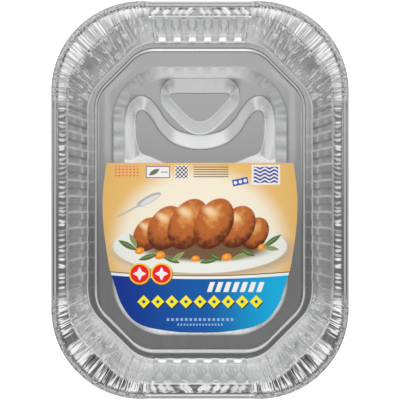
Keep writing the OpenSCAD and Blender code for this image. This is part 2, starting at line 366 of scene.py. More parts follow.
def wall_push(st, z):
    """Outward push of the fluted wall at the height z, smaller near the mouth and the ledge.

    It is the flutes and the bulged feet of the short sides less the folds of the corners.
    """
    depth = (PAN_H - z) / (PAN_H - LEDGE_Z)
    start = np.where(st.part == LONG, 0.1, 0.065)
    strength = smooth((depth - start) / 0.06) * 0.6 + smooth((depth - start) / 0.2) * 0.4
    height = z - LEDGE_Z
    foot = smooth(height / 12.0) * 0.6 + 0.4
    full_at = np.where(st.sy > 0, 4.0, 3.2)
    rise = np.clip((height - 0.25) / (full_at - 0.25), 0, 1)
    bulge = FOOT_BULGE * rise * (1 - 0.9 * smooth((height - 5) / 50))
    fluted = (0.5 - flutes(st)) * FLUTE_D * strength * foot + bulges(st) * bulge
    return fluted - by_half(corner_folds, st, depth, SEED + 1) * smooth(depth / 0.05) * foot


# Rows of the rim's section: the way inwards from the rim and the drop from its top
RIM_ROWS = [
    (3.4, 4.6), (1.0, 4.4), (0.05, 2.9), (0.0, 2.1), (0.35, 1.1), (1.1, 0.3), (2.2, 0.0), (3.1, 0.25),
    (3.8, 0.9), (4.5, 1.5), (5.4, 1.75), (6.6, 1.8),
    (7.4, 1.8), (8.3, 1.77), (9.2, 1.75), (10.1, 1.74), (11.0, 1.71), (11.9, 1.68), (12.8, 1.63),
    (13.7, 1.6), (14.7, 1.6), (15.3, 1.66), (15.6, 1.85), (15.78, 2.3), (15.86, 3.0),
]


def section_way(w, z):
    """Way along the pan's section from the rim: across the flange, then down the wall as well."""
    return w + max(PAN_H - FLANGE_DROP - z, 0.0)


# Way along the section for each millimetre down the wall, and the way at the wall's foot
WALL_WAY = 1.18
FOOT_WAY = section_way(FOOT_AT, LEDGE_Z)


def flange_surface():
    """Rows from the bead's lip over the bead, across the crimped flange and down to the seam.

    The flange is lifted a little in the far corners, and high crimps are held below the rim's top.
    """
    rows = [(w, PAN_H - drop) for w, drop in RIM_ROWS]
    rows += [(wall_w(z), z) for z in (PAN_H - 4.4, PAN_H - 6.6, SEAM_Z)]
    free = PAN_H - FLANGE_DROP + CRIMP_FREE
    turns = []
    for w, z in rows:
        below = PAN_H - FLANGE_DROP - z
        on_wall = smooth(below / 1.5) if w > 14 else 0.0
        x, y = ROUND.ring(w, wall_push(ROUND, z) * on_wall)
        lift = 1.6 * smooth((w - 5.4) / 9.0) - 0.4 * smooth((w - 4.0) / 1.4)
        lift = lift * (1 - smooth(below / 4.0)) * ROUND.creased * (ROUND.sy > 0)
        over = z + by_half(flange_crimps, ROUND, w, SEED + 3) + lift - free
        level = free + np.where(over > 0, CRIMP_HELD * np.tanh(over / CRIMP_HELD), over)
        turns.append(np.stack([x, y, np.minimum(level, max(z, PAN_H - 0.05))], axis=-1))
    return np.array(turns), [section_way(w, z) for w, z in rows]


def wall_surface():
    """Rows from the seam down the fluted wall, over the ledge and down to the floor.

    The drop from the ledge is narrower along the long sides than at the ends.
    """
    heights = [SEAM_Z - LEDGE_Z, 48.0, 41.0, 34.0, 27.0, 21.0, 16.0, 11.0, 7.0, 5.0, 4.0, 3.2, 1.7]
    rows = [(wall_w(LEDGE_Z + h), LEDGE_Z + h) for h in heights]
    fold = [(-0.02, 0.7), (0.06, 0.25), (0.3, 0.05), (0.7, 0.0), (1.6, 0.0), (6.0, 0.0)]
    rows += [(FOOT_AT + w, LEDGE_Z + z) for w, z in fold]
    drop = [(-1.6, 0.98), (-1.1, 0.88), (-0.6, 0.66), (0.4, 0.2), (0.8, 0.05), (1.2, 0.0), (3.0, 0.0)]
    rows += [(DROP_AT + w, FLOOR_Z + LEDGE_H * z) for w, z in drop]
    turns = []
    narrow = 0.6 + np.where(ROUND.sy > 0, 0.4, 0.15) * ROUND.endward
    for w, z in rows:
        on_wall = 1 - smooth((w - FOOT_AT - 1.0) / 4.0)
        squeeze = (w - DROP_AT) * (narrow - 1) * (abs(w - DROP_AT) < 1.7)
        x, y = ROUND.ring(w + squeeze, wall_push(ROUND, max(z, LEDGE_Z)) * on_wall)
        turns.append(np.stack([x, y, np.full(ROUND.count, z)], axis=-1))
    return np.array(turns), [section_way(w, z) for w, z in rows]


# Outlines of the low pads between the ridges. Only their parts with x and y above 0 count,
# and those are mirrored to the other quarters.
PAD_FRONT = [
    (-26, 118.8), (-10, 118.8), (10, 118.8), (26, 118.8), (31.5, 117.6), (32.4, 113.8), (27.5, 107.6),
    (16.4, 95.9), (9.5, 90.2), (3, 87.3), (-3, 87.3), (-9.5, 90.2), (-16.4, 95.9),
]
PAD_MID = [
    (-30.8, 64.2), (-16.4, 58.6), (-6, 56.8), (6, 56.8), (16.4, 58.6), (30.8, 64.2), (44.1, 76.2),
    (53.4, 90.5), (59.2, 97.2), (64.8, 99.6), (69.3, 96.4), (70.9, 89.2), (71.3, 81.5), (70.6, 72.0),
    (68.4, 60.5), (64.6, 52.2), (53, 47.6), (38.6, 41.2), (14, 34.6), (-14, 34.6), (-38.6, 41.2),
]
PAD_CENTRE = [(-20, 8), (20, 12), (52, 24), (66, 26.5), (70.2, 18), (70.8, 4), (70.8, -12), (-20, -12)]
# How much steeper the slopes that face sideways are
SIDE_STEEP = 1.42
# Radius of the round corners of the rack's foot
FOOT_R = 59.0
# Where the two pieces of the floor meet, below the card
RACK_SEAM_Y = 35.0


def rounded(points, count):
    """A closed outline with count steps between each two points of a smooth curve through them."""
    loop = np.array(points + points[:1], dtype=float)
    return path_rows(loop, 1.0, count)[:-1]


def pad_gap(x, y, pad):
    """Distance from points to a pad, 0 inside it.

    Sideways distances count for more, so slopes that face sideways are steeper.
    """
    a = rounded(pad, 12)
    b = np.roll(a, -1, axis=0)
    gap = np.full(x.shape, 1e9)
    inside = np.zeros(x.shape, dtype=int)
    for (ax, ay), (bx, by) in zip(a, b):
        dx, dy = (bx - ax) * SIDE_STEEP, by - ay
        ex, ey = (x - ax) * SIDE_STEEP, y - ay
        t = np.clip((ex * dx + ey * dy) / (dx * dx + dy * dy), 0, 1)
        gap = np.minimum(gap, np.hypot(ex - dx * t, ey - dy * t))
        if abs(by - ay) > 1e-9:
            inside += ((ay > y) != (by > y)) & (x < (bx - ax) * (y - ay) / (by - ay) + ax)
    return np.where(inside % 2 == 1, 0.0, gap)


def eased(t, foot, top):
    """A ramp from 0 to 1 with its lower end rounded over foot and its upper end over top."""
    low = np.clip(t / foot, 0, 1) ** 2 * foot / 2 + np.maximum(t - foot, 0)
    over = t - (1 - top)
    cap = np.clip(over / top, 0, 1) ** 2 * top / 2 + np.maximum(over - top, 0)
    return (low - cap) / (1 - (foot + top) / 2)


def smooth_least(a, b, soft):
    """The smaller of two values, blended where they differ by less than soft."""
    h = np.clip(0.5 + 0.5 * (a - b) / soft, 0, 1)
    return a * (1 - h) + b * h - soft * h * (1 - h)


def floor_height(x, y):
    """Height of the pressed floor: the least of the rises from the pads and from the gutter.

    The gutter's edge is a rectangle with round corners, and the rise counts from its outline.
    """
    ax, ay = np.abs(x), np.abs(y)
    gap = np.minimum.reduce([pad_gap(ax, ay, pad) for pad in (PAD_FRONT, PAD_MID, PAD_CENTRE)])
    qx, qy = ax - (RACK_HW - FOOT_R), ay - (RACK_HL - FOOT_R)
    inward = FOOT_R - np.hypot(np.maximum(qx, 0), np.maximum(qy, 0)) - np.minimum(np.maximum(qx, qy), 0)
    least = smooth_least(np.maximum(inward, 0) / OUTER_SLOPE, gap / PAD_SLOPE, 0.05)
    return FLOOR_Z + RIDGE_H * eased(np.clip(least, 0, 1), 0.06, 0.08)


def floor_surface(y_from, y_to, step, cols):
    """Rows across the pan's floor from one y to another, each as wide as the gutter's outer edge.

    The flat parts lie a hair below the wall's last row, whose edge they meet.
    """
    hw, hl, cut, r = outline_at(FLOOR_EDGE_AT)
    edge = np.linspace(0, 1, 400)
    ex, ey = corner_point(hw, hl, cut, r, edge)
    order = np.argsort(ey)
    rows = max(2, int(round(abs(y_to - y_from) / step)))
    y = np.clip(np.linspace(y_from, y_to, rows + 1), -hl, hl)
    half = np.interp(np.abs(y), ey[order], ex[order], left=hw)
    across = np.linspace(-1, 1, cols)
    px = half[:, None] * across[None, :]
    py = np.repeat(y[:, None], cols, axis=1)
    pz = floor_height(px, py)
    edge_drop = 0.03 * (pz < FLOOR_Z + 0.01)
    return np.stack([px, py, pz - edge_drop], axis=-1)


def mark_wrinkles(obj, places):
    """Stores each point's way along and across the rim, its calm, creasing, painted highlight on the humps
    and short side.
    """
    shape = (2, len(places), ROUND.count)
    hump_highlight = np.zeros(shape)
    for row, w in enumerate(places):
        if w < MOUTH_AT:
            hump_highlight[:, row] = by_half(flange_highlight, ROUND, w, SEED + 3)
    way = np.zeros(shape + (3,))
    way[..., 0] = ROUND.run * MM
    way[..., 1] = np.array(places)[:, None] * MM
    way[..., 2] = ROUND.calm
    attributes = obj.data.attributes
    attributes.new("way", "FLOAT_VECTOR", "POINT").data.foreach_set("vector", way.ravel())
    short_side = 1.0 * (ROUND.part == SHORT)
    for name, values in (("hump_highlight", hump_highlight), ("short_side", short_side), ("creased", ROUND.creased)):
        stored = np.broadcast_to(values, shape).ravel()
        attributes.new(name, "FLOAT", "POINT").data.foreach_set("value", stored)


# Right half of the card's outline, drawn for a rack of these half sizes
CARD_FOR_HW = 96.4
CARD_FOR_HL = 147.8
CARD_SIDE = [
    (101.9, 40.9), (105, 18), (106.2, -5), (104.6, -34), (99.4, -69.6), (95.8, -82.8),
    (92.2, -94.8), (86.3, -111.7), (75.4, -127.7), (62.8, -136), (46.1, -140.3), (21, -143.5), (0, -143.9),
]


def card_surface():
    """The card as rows across it: at each height y the half width follows the die-cut outline."""
    side = path_rows(CARD_SIDE, 2.0)
    half = side[:, 0] * RACK_HW / CARD_FOR_HW
    y = side[:, 1] * RACK_HL / CARD_FOR_HL
    half, y = half[half > 1.0], y[half > 1.0]
    across = np.linspace(-1, 1, 41)
    x = half[:, None] * across[None, :]
    yy = np.repeat(y[:, None], len(across), axis=1)
    z = np.full_like(x, FLOOR_Z + RIDGE_H + CARD_GAP + CARD_T)
    return np.stack([x, yy, z], axis=-1)


def new_material(name):
    """An empty node material, its node tree and its output node."""
    mat = bpy.data.materials.new(name)
    mat.use_nodes = True
    tree = mat.node_tree
    tree.nodes.clear()
    out = tree.nodes.new("ShaderNodeOutputMaterial")
    return mat, tree, out


class NodeMaths:
    """Adds nodes to a node tree and links them. line is the value times the slope, plus start."""

    def __init__(self, tree):
        self.nodes, self.links = tree.nodes, tree.links

    def put(self, node, sockets):
        """Sets or links each named socket of a node, and gives its first output."""
        for key, value in sockets.items():
            if isinstance(value, (int, float, tuple)):
                node.inputs[key].default_value = value
            else:
                self.links.new(value, node.inputs[key])
        return node.outputs[0]

    def add(self, kind, sockets):
        """The first output of a new node of this kind with these sockets."""
        return self.put(self.nodes.new("ShaderNode" + kind), sockets)

    def read(self, kind, output):
        """One output of a new node of this kind."""
        return self.nodes.new("ShaderNode" + kind).outputs[output]

    def math(self, kind, a, b=0.0, c=0.0):
        node = self.nodes.new("ShaderNodeMath")
        node.operation = kind
        return self.put(node, {0: a, 1: b, 2: c})

    def plus(self, a, b):
        return self.math("ADD", a, b)

    def minus(self, a, b):
        return self.math("SUBTRACT", a, b)

    def size(self, value):
        return self.math("ABSOLUTE", value)

    def line(self, value, slope, start):
        return self.math("MULTIPLY_ADD", value, slope, start)

    def times(self, first, *others):
        """The product of the values, so of masks the part that all of them share."""
        for other in others:
            first = self.math("MULTIPLY", first, other)
        return first

    def most(self, first, *others):
        """The largest of the values."""
        for other in others:
            first = self.math("MAXIMUM", first, other)
        return first

    def step(self, value, low, high):
        """0 where the value is low and 1 where it is high, eased between. low may be above high."""
        node = self.nodes.new("ShaderNodeMapRange")
        node.interpolation_type = "SMOOTHSTEP"
        return self.put(node, {"Value": value, "From Min": low, "From Max": high})

    def beside(self, value, centre, outer, inner):
        """1 where the value is within inner of the centre, and 0 beyond outer."""
        return self.step(self.size(self.minus(value, centre)), outer, inner)

    def mix(self, factor, a, b):
        """a where the factor is 0 and b where it is 1."""
        return self.add("Mix", {"Factor": factor, "A": a, "B": b})

    def split(self, vector):
        """The X, Y and Z of a vector."""
        node = self.nodes.new("ShaderNodeSeparateXYZ")
        self.links.new(vector, node.inputs[0])
        return node.outputs["X"], node.outputs["Y"], node.outputs["Z"]

    def attribute(self, name, output):
        """A value or vector that the mesh stores at each point."""
        node = self.nodes.new("ShaderNodeAttribute")
        node.attribute_name = name
        return node.outputs[output]

    def noise(self, vector, scale, detail):
        """Noise over the vector drawn out by scale."""
        stretched = self.add("Mapping", {"Scale": scale, "Vector": vector})
        return self.add("TexNoise", {"Scale": 1.0, "Detail": detail, "Vector": stretched})

    def ramp(self, value, stops):
        """Brightness read from stops (place, level) at the value."""
        node = self.nodes.new("ShaderNodeValToRGB")
        elements = node.color_ramp.elements
        while len(elements) < len(stops):
            elements.new(0.5)
        for element, (place, level) in zip(elements, stops):
            element.position = place
            element.color = (level, level, level, 1)
        return self.put(node, {"Fac": value})


class Foil(NodeMaths):
    """Masks over the pan, from 0 to 1. Lengths are in millimetres.

    A highlight mask marks a painted highlight, where the foil is made less metallic so that it
    shows white in place of a bright reflection. A shade mask marks painted shade, where the
    foil's colour is darkened as a fold or slope would be by light. across is the way along the section
    from the rim and 0 on the floor, height counts from the ledge, and flute is the distance from
    the middle of a short side's land.
    """

    def __init__(self, tree):
        super().__init__(tree)
        self.spot = self.read("TexCoord", "Object")
        self.way = self.attribute("way", "Vector")
        self.corner = self.attribute("creased", "Fac")
        self.short = self.attribute("short_side", "Fac")
        self.hump_highlight = self.attribute("hump_highlight", "Fac")
        run, across, calm = self.split(self.way)
        x, y, _ = self.split(self.spot)
        self.aside = self.size(self.times(x, 1000))
        self.y = self.times(y, 1000)
        self.across = self.times(across, 1000)
        self.height = self.line(self.across, -1 / WALL_WAY, FOOT_WAY / WALL_WAY)
        self.flute = self.math("PINGPONG", self.aside, FLUTE_PITCH / 2)
        self.far = self.step(run, 0.4, 0.41)
        self.near = self.minus(1.0, self.far)
        self.on_floor = self.step(self.across, 0.2, 0.1)
        self.on_bead = self.step(self.across, 6.8, 5.6)
        pleated = self.times(self.step(self.across, 5.2, 6.8), self.minus(1.0, calm))
        self.on_flange = self.times(self.step(self.across, 18, 16.2), pleated)
        self.on_wall = self.times(self.step(self.across, 16.5, 19), self.step(self.across, 89.2, 82))
        self.below_mouth = self.step(self.across, 18, 20)
        self.on_panel = self.times(self.below_mouth, self.step(self.height, 2.5, 4))

    def flange_pleats(self):
        """Painted highlight on the pleats of the corners' flange, lighter at the near end, and painted
        shade between them and at the mouth.
        """
        bunches = self.noise(self.way, (110, 30, 0), 1.0)
        pleats = self.noise(self.way, (680, 58, 0), 2.0)
        pleats = self.plus(pleats, self.line(bunches, 0.35, -0.175))
        inner = self.step(self.across, 7, 14)
        whiter = self.times(self.near, self.line(inner, -0.08, 0.12))
        painted_highlight = self.step(self.plus(whiter, pleats), 0.54, 0.62)
        painted_highlight = self.times(self.most(painted_highlight, self.times(self.far, 0.4)), self.on_flange)
        shade = self.step(self.line(inner, -0.05, pleats), 0.43, 0.36)
        shade = self.times(shade, self.on_flange, self.mix(self.far, 0.62, 0.3))
        dots = self.line(self.step(pleats, 0.52, 0.45), 0.6, 0.2)
        mouth = self.beside(self.across, MOUTH_AT + 0.2, 1, 0.3)
        return painted_highlight, self.most(shade, self.times(mouth, dots))

    def wall_crease_highlights(self):
        """Painted highlight on thin threads down the corners' wall, with a painted lighter haze of blotches
        at the near end.
        """
        threads = self.beside(self.noise(self.way, (210, 11, 0), 2.0), 0.5, 0.05, 0.025)
        patches = self.step(self.noise(self.way, (130, 55, 0), 1.0), 0.44, 0.56)
        blotches = self.step(self.noise(self.way, (60, 45, 0), 1.0), 0.38, 0.62)
        near_highlight = self.times(self.near, self.line(blotches, 0.35, 0.15))
        return self.times(self.most(self.times(threads, patches), near_highlight), self.on_wall)

    def corner_shade(self, pleat_shade, creases):
        """Painted shade in the corners: between the pleats, mottles and specks on the bead, a darker near
        bead, and the wall between the threads.
        """
        specks = self.line(self.near, -0.04, self.noise(self.way, (760, 420, 0), 1.0))
        rim = self.times(self.step(self.across, 1.8, 0.6), 0.6)
        bead_edges = self.plus(self.beside(self.across, 6, 2.2, 0.8), rim)
        speckled = self.times(self.step(specks, 0.54, 0.44), bead_edges, 0.7)
        mottled = self.step(self.noise(self.way, (420, 420, 0), 2.0), 0.48, 0.62)
        mottled = self.times(mottled, self.on_bead, self.mix(self.far, 0.6, 0.3))
        rolled = self.times(self.on_bead, self.near, 0.18)
        between = self.times(self.minus(self.on_wall, creases), 0.09)
        return self.times(self.most(pleat_shade, rolled, mottled, speckled, between), self.corner)

    def short_side_highlights(self):
        """Painted highlights on the short sides: between the lands, on the level fold and along the mouth.
        """
        glint = self.times(self.step(self.flute, 6.4, 8), self.step(self.height, 52, 12))
        fold = self.times(self.beside(self.height, 19, 1.6, 0.6), 0.8)
        lip = self.times(self.beside(self.across, MOUTH_AT + 0.4, 1.5, 0.9), 0.9)
        return self.times(self.most(self.times(self.most(glint, fold), self.on_panel), lip), self.short)

    def short_side_shade(self):
        """Painted shade on the short sides: on the lands, in small dark patches inside the bead and over
        the near bead.
        """
        lands = self.times(self.step(self.flute, 3.2, 1.8), self.on_panel, self.step(self.height, 2, 6))
        lands = self.times(lands, self.step(self.aside, 46, 43.5), 0.08)
        dark_patches = self.step(self.noise(self.way, (170, 60, 0), 1.0), 0.47, 0.6)
        dark_patches = self.times(dark_patches, self.beside(self.across, 7.8, 1.6, 0.7), 0.65)
        bead = self.times(self.on_bead, self.near, 0.2)
        return self.times(self.most(lands, dark_patches, bead), self.short)

    def foot_lines(self):
        """Painted highlights on the two folds that run round the pan: the wall's foot and the ledge's edge.
        """
        foot = self.mix(self.short, self.mix(self.corner, 0.25, 0.6), 0.9)
        foot = self.times(self.beside(self.across, FOOT_WAY + 0.1, 1.3, 0.6), foot)
        edge = self.mix(self.short, self.mix(self.corner, 0.35, self.mix(self.far, 0.8, 0.45)), 0.0)
        edge = self.times(self.beside(self.across, FOOT_WAY + 10.1, 2.4, 1.6), edge)
        return self.most(foot, edge)

    def long_side_flutes(self):
        """Painted highlight and painted shade on the long sides: a light and a dark line down each flute.

        The light line goes on across the ledge.
        """
        long_side = self.minus(1.0, self.most(self.corner, self.short))
        on_side = self.times(self.below_mouth, self.step(self.height, 1, 3), long_side)
        on_ledge = self.times(self.step(self.across, 90.5, 92), self.step(self.across, 98.5, 97), long_side)
        pitches = self.math("FRACT", self.line(self.y, 1 / FLUTE_PITCH, 20.0))
        light = self.mix(self.step(self.y, -90, 0), 0.22, 0.42)
        light = self.times(light, self.beside(pitches, 0.24, 0.08, 0.02))
        dark = self.mix(self.step(self.y, -60, 60), 0.1, 0.3)
        dark = self.times(dark, self.beside(pitches, 0.72, 0.13, 0.03))
        return self.times(light, self.most(on_side, self.times(on_ledge, 0.6))), self.times(dark, on_side)

    def rack_highlights(self):
        """Painted highlights on the bare end's floor: the ring slope, the bowl's arms and brow, and a
        border.

        The brow lies below a slanted line. The border follows the gutter, with a slanted corner.
        """
        ring = self.times(self.beside(self.y, 141.2, 7.8, 6.2), self.step(self.aside, 60, 42), 0.55)
        below = self.minus(self.line(self.aside, 0.29, 31.2), self.y)
        lowered = self.line(self.step(self.aside, 64, 78), -9, below)
        brow = self.times(self.step(lowered, -1, 1.5), self.step(below, 20, 12))
        brow = self.times(brow, self.step(self.aside, 36, 50))
        arm = self.times(self.step(self.y, 102, 80), self.step(self.y, 30, 36))
        arm = self.times(arm, self.step(self.aside, 69.5, 72.5), 0.6)
        bowl = self.times(self.most(brow, arm), self.step(self.aside, 84.5, 81.5))
        slanted = self.minus(self.plus(self.aside, self.y), 223.6)
        border = self.most(self.minus(self.aside, 102.5), self.times(slanted, DIAG))
        border = self.times(self.beside(border, 0, 5.5, 1), self.step(self.y, 30, 60))
        border = self.times(border, self.step(self.y, 160, 135), 0.3)
        return self.times(self.most(ring, bowl, border), self.on_floor)

    def rack_shade(self):
        """Painted shade in two soft hollows on each side of the bare end, where the ridges meet."""
        hollows = []
        for x, y, reach, depth in ((36, 128, 12, 0.42), (70.5, 108, 10.5, 0.3)):
            dx = self.minus(self.aside, x)
            dy = self.minus(self.y, y)
            away = self.math("SQRT", self.plus(self.times(dx, dx), self.times(dy, dy)))
            hollows.append(self.times(self.step(away, reach, 1), depth))
        return self.times(self.most(*hollows), self.on_floor)


def foil_material():
    """Bright rolled aluminium foil with fine wrinkles where the sheet is gathered.

    Painted highlights lower Metallic, so that the foil shows white there, and painted shade darkens Base
    Color. The gathered bead is rumpled by a bump.
    """
    mat, tree, out = new_material("rolled_foil")
    foil = Foil(tree)
    streaks = foil.noise(foil.spot, (260, 9, 60), 2.0)
    pleat_highlight, pleat_shade = foil.flange_pleats()
    creases = foil.wall_crease_highlights()
    side_highlight, side_shade = foil.long_side_flutes()
    # Painted highlights, where the foil shows white in place of bright reflections
    painted_highlight = foil.most(
        foil.times(foil.plus(pleat_highlight, creases), foil.corner), foil.hump_highlight,
        foil.short_side_highlights(), foil.foot_lines(), side_highlight, foil.rack_highlights(),
    )
    # Painted shade, which darkens the foil's colour
    shade = foil.most(
        foil.corner_shade(pleat_shade, creases), foil.short_side_shade(), side_shade, foil.rack_shade(),
    )
    levels = (("Red", 0.9), ("Green", 0.903), ("Blue", 0.906))
    tone = foil.add("CombineColor", {key: foil.line(shade, -level, level) for key, level in levels})
    rumple = foil.times(foil.noise(foil.way, (620, 500, 0), 3.0), foil.on_bead, foil.corner)
    shader = foil.add("BsdfPrincipled", {
        "Base Color": tone,
        "Metallic": foil.line(painted_highlight, -0.9, 1.0),
        "Roughness": foil.line(foil.plus(streaks, foil.on_floor), 0.06, 0.13),
        "Normal": foil.add("Bump", {"Strength": 1.0, "Distance": 0.0022, "Height": rumple}),
    })
    foil.links.new(shader, out.inputs[0])
    return mat


def tint(red, green, blue):
    """A colour written in the usual 0 to 255, as linear light."""
    levels = np.array([red, green, blue]) / 255.0
    return tuple(np.where(levels > 0.04045, ((levels + 0.055) / 1.055) ** 2.4, levels / 12.92)) + (1.0,)


CREAM = tint(244, 234, 212)
WHITE = tint(240, 240, 236)
VIOLET = tint(84, 84, 162)
DARK = tint(70, 62, 58)
RED = tint(238, 22, 40)
YELLOW = tint(252, 236, 20)
GREEN = tint(84, 112, 52)
PALE_GREEN = tint(150, 160, 104)
ORANGE = tint(240, 140, 34)


class Print(NodeMaths):
    """Paints flat and shaded shapes over each other, in millimetres on the card."""

    def __init__(self, tree, ground):
        super().__init__(tree)
        spot = self.read("TexCoord", "Object")
        self.at = self.add("Mapping", {"Scale": (1000, 1000, 0), "Vector": spot})
        self.x, self.y, _ = self.split(self.at)
        self.colour = ground

    def blend(self, mask, under, over):
        """The colour over laid on the colour under where the mask is 1."""
        node = self.nodes.new("ShaderNodeMix")
        node.data_type = "RGBA"
        self.put(node, {0: mask, 6: under, 7: over})
        return node.outputs[2]

    def paint(self, mask, colour):
        self.colour = self.blend(mask, self.colour, colour)

    def local(self, centre, half, turn):
        """Coordinates in which the ellipse or box round centre reaches 1 on each side."""
        node = self.nodes.new("ShaderNodeMapping")
        node.vector_type = "TEXTURE"
        turned = (0, 0, math.radians(turn))
        place = {"Location": (*centre, 0), "Rotation": turned, "Scale": (*half, 1), "Vector": self.at}
        return self.put(node, place)

    def apart(self, vector, point=(0, 0, 0)):
        node = self.nodes.new("ShaderNodeVectorMath")
        node.operation = "DISTANCE"
        self.put(node, {0: vector, 1: point})
        return node.outputs["Value"]

    def ellipse(self, centre, half, turn=0, soft=0.05):
        """1 inside the ellipse, with an edge as soft as this part of its half size."""
        return self.step(self.apart(self.local(centre, half, turn)), 1 + soft, 1 - soft)

    def leaf(self, centre, half, turn):
        """A leaf shape: the overlap of two circles, along the turned X axis."""
        x, y, _ = self.split(self.local(centre, half, turn))
        width = self.plus(self.size(y), self.times(x, x))
        return self.step(width, 1.05, 0.85)

    def box(self, centre, half, turn=0, soft=0.25):
        """1 inside the box, with an edge soft millimetres wide."""
        x, y, _ = self.split(self.local(centre, (1, 1), turn))
        in_x = self.minus(half[0], self.size(x))
        in_y = self.minus(half[1], self.size(y))
        return self.step(self.math("MINIMUM", in_x, in_y), -soft, soft)

    def stripes(self, value, period, share):
        """Bars of the given share of each period along a value, softly edged."""
        wave = self.math("PINGPONG", value, period / 2)
        return self.step(wave, period / 2 * share + 0.2, period / 2 * share - 0.2)


# Each lobe of the loaf: its centre, its half width and half height, and its turn in degrees
LOBES = (
    (-57, -37, 15, 20, -32), (60, -36, 14, 19, -32), (-37, -30, 19, 26, -30), (41, -29, 18, 25, -30),
    (-13, -26, 20, 30, -28), (15, -25.5, 20, 30, -28),
)
# Each carrot slice: its centre and its half width
SLICES = ((-66, -55, 5.2), (-44, -60, 6.0), (29, -62, 5.6), (68, -51, 5.0), (-5, -63.5, 4.6))
# Each leaf: its centre, its half length and half width, and its turn in degrees
LEAVES = (
    (-79, -49, 12, 3.2, 152), (-73, -44, 9, 2.8, 118), (-57, -62, 11, 3.0, 196), (-31, -65, 10, 2.8, 160),
    (-24, -61, 9, 2.6, 215), (10, -66, 11, 2.8, 12), (17, -62, 8, 2.6, 150), (44, -61, 12, 3.0, 20),
    (52, -57, 9, 2.8, 335), (79, -44, 12, 3.0, 35), (77, -52, 10, 2.8, 350),
)


def print_plate(art):
    """A pale glow on the cream ground, and in it an oval plate with its shadow and a spoon."""
    glow = art.step(art.apart(art.local((0, -48), (93, 82), 0)), 1.14, 0.84)
    art.paint(glow, art.blend(art.step(art.y, -52, -82), CREAM, tint(226, 203, 166)))
    art.paint(art.ellipse((4, -55), (99, 28), 0, 0.12), tint(198, 172, 138))
    art.paint(art.ellipse((0, -50), (95, 29.5), 0, 0.02), tint(234, 236, 228))
    art.paint(art.ellipse((0, -47), (70, 19), 0, 0.1), tint(200, 200, 186))
    art.paint(art.ellipse((0, -45.5), (69, 17), 0, 0.08), tint(224, 224, 214))
    art.paint(art.ellipse((-56, 1), (15, 4.2), 28, 0.1), tint(178, 180, 178))
    art.paint(art.ellipse((-55, 0.4), (12, 2.6), 28, 0.2), tint(222, 222, 218))
    art.paint(art.box((-78, -11.5), (13, 0.9), 28, 0.4), tint(186, 186, 180))


def print_loaf(art):
    """A braided loaf with its shadow, in browns that darken away from each lobe's light."""
    art.paint(art.ellipse((6, -53), (66, 13), 0, 0.25), tint(120, 88, 62))
    crust = art.line(art.noise(art.at, (0.16, 0.16, 1), 4.0), 0.9, -0.45)
    for x, y, wide, tall, turn in LOBES:
        spot = art.local((x, y), (wide, tall), turn)
        shade = art.plus(art.apart(spot, (-0.25, 0.3, 0)), crust)
        body = art.blend(art.step(shade, 0.05, 0.62), tint(226, 158, 86), tint(186, 100, 42))
        body = art.blend(art.step(shade, 0.7, 1.3), body, tint(96, 42, 18))
        art.paint(art.step(art.apart(spot), 1.02, 0.96), body)
        lit = art.ellipse((x - 4, y + tall * 0.45), (wide * 0.34, tall * 0.14), turn, 0.8)
        art.paint(lit, tint(244, 206, 158))


def print_garnish(art):
    """Carrot slices and leaves round the loaf, each with a lighter middle."""
    for x, y, size in SLICES:
        art.paint(art.ellipse((x, y), (size, size * 0.72), 15, 0.06), ORANGE)
        art.paint(art.ellipse((x - 0.6, y + 0.5), (size * 0.5, size * 0.34), 15, 0.4), tint(252, 178, 70))
    for count, (x, y, long, wide, turn) in enumerate(LEAVES):
        art.paint(art.leaf((x, y), (long, wide), turn), PALE_GREEN if count % 3 == 1 else GREEN)
        art.paint(art.leaf((x, y + 0.5), (long * 0.8, wide * 0.25), turn), tint(128, 146, 88))


def print_top_row(art):
    """The small marks along the top edge: dots, a framed leaf, checks, rules, a tile and waves."""
    dots = art.times(art.stripes(art.x, 4.0, 0.5), art.stripes(art.y, 3.4, 0.5))
    art.paint(art.times(art.box((-81, 31), (13.8, 6.6)), dots), tint(240, 90, 90))
    art.paint(art.box((-46, 31), (13, 6.4)), VIOLET)
    art.paint(art.box((-46, 31), (12.2, 5.6)), WHITE)
    art.paint(art.leaf((-50, 31), (7, 2.6), 30), tint(110, 120, 90))
    art.paint(art.box((-39, 31), (3.6, 0.4)), DARK)
    checks = art.minus(art.stripes(art.x, 4.4, 0.5), art.stripes(art.y, 4.4, 0.5))
    art.paint(art.box((-20, 31), (7.4, 7.4)), WHITE)
    art.paint(art.times(art.box((-20, 31), (6.8, 6.8)), art.size(checks)), DARK)
    rules = art.times(art.box((12, 31.5), (19, 7.4)), art.stripes(art.y, 2.6, 0.42))
    art.paint(rules, tint(132, 112, 88))
    art.paint(art.box((44, 20.5), (8.6, 3.6), 12), tint(60, 90, 180))
    for x in (38.7, 44.0, 49.3):
        art.paint(art.ellipse((x, 20.5 + (x - 44) * 0.21), (1.9, 1.9), 0, 0.15), WHITE)
    art.paint(art.box((72, 28), (15.5, 10.8)), WHITE)
    waves = art.line(art.math("SINE", art.math("MULTIPLY", art.x, 0.6)), 1.2, art.y)
    art.paint(art.times(art.box((72, 28), (13.4, 8.8)), art.stripes(waves, 4.0, 0.56)), VIOLET)


def print_band(art):
    """The blue band below its bowed edge: darker to the left, with the rest of the marks."""
    edge = art.line(art.times(art.x, art.x), -0.00045, art.y)
    left_blue = art.blend(art.step(art.x, -95, 0), tint(0, 48, 147), tint(2, 88, 167))
    blue = art.blend(art.step(art.x, 0, 95), left_blue, tint(0, 176, 226))
    art.paint(art.step(edge, -81.4, -82.0), tint(112, 92, 66))
    art.paint(art.step(edge, -82.6, -83.0), WHITE)
    art.paint(art.step(edge, -85.6, -86.0), blue)


